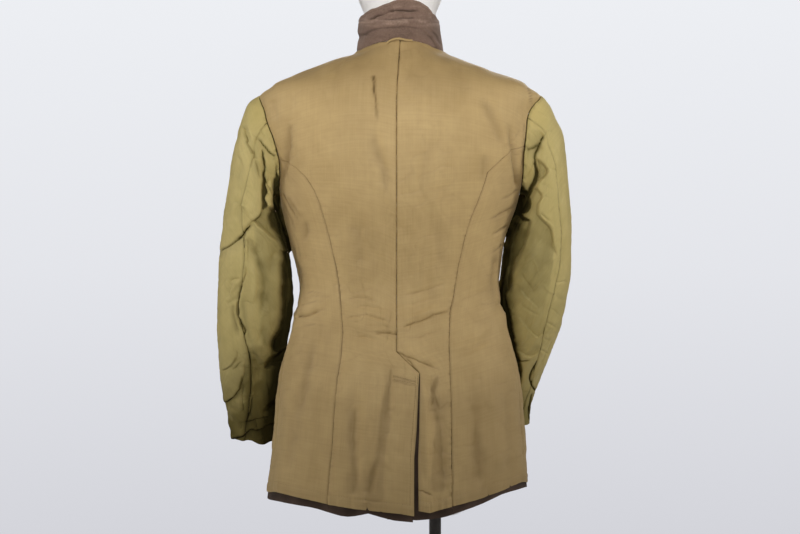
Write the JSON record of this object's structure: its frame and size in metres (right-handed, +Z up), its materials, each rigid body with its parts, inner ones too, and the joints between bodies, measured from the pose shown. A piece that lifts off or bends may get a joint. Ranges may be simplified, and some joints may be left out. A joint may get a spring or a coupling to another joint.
{
  "type": "inside-out service jacket on a limbless dress form stand",
  "caption": "Wool service jacket turned inside out to show its tan lining, with the collar up and a back vent, worn by a white limbless dress form on a pole stand.",
  "frame": {"origin": "middle of the stand's underside, on the floor", "axes": "+Z up, -Y the side the jacket's back faces, -X the jacket's left"},
  "size_m": [0.599, 0.35, 1.622],
  "materials": {
    "lining_tan": "cotton sateen, soft sheen",
    "lining_olive": "cotton sateen, soft sheen",
    "wool_brown": "napped wool",
    "button_brass": "satin",
    "form_white": "matt",
    "stand_steel": "satin"
  },
  "bodies": {
    "root": {"button_1": "button_brass", "button_2": "button_brass", "button_3": "button_brass", "button_4": "button_brass", "collar": "wool_brown", "dress_form": "form_white", "flap_chest_left": "wool_brown", "flap_chest_right": "wool_brown", "flap_skirt_left": "wool_brown", "flap_skirt_right": "wool_brown", "hanger_loop": "lining_tan", "lining_back_left": "lining_tan", "lining_back_right": "lining_tan", "lining_front_left": "lining_tan", "lining_front_right": "lining_tan", "lining_side_left": "lining_tan", "lining_side_right": "lining_tan", "pocket_chest_left": "wool_brown", "pocket_chest_right": "wool_brown", "pocket_skirt_left": "wool_brown", "pocket_skirt_right": "wool_brown", "shell_back_left": "wool_brown", "shell_back_right": "wool_brown", "shell_front_left": "wool_brown", "shell_front_right": "wool_brown", "shell_side_left": "wool_brown", "shell_side_right": "wool_brown", "sleeve_top_left": "lining_olive", "sleeve_top_right": "lining_olive", "sleeve_under_left": "lining_olive", "sleeve_under_right": "lining_olive", "stand_base": "stand_steel", "stand_pole": "stand_steel"}
  },
  "joints": []
}
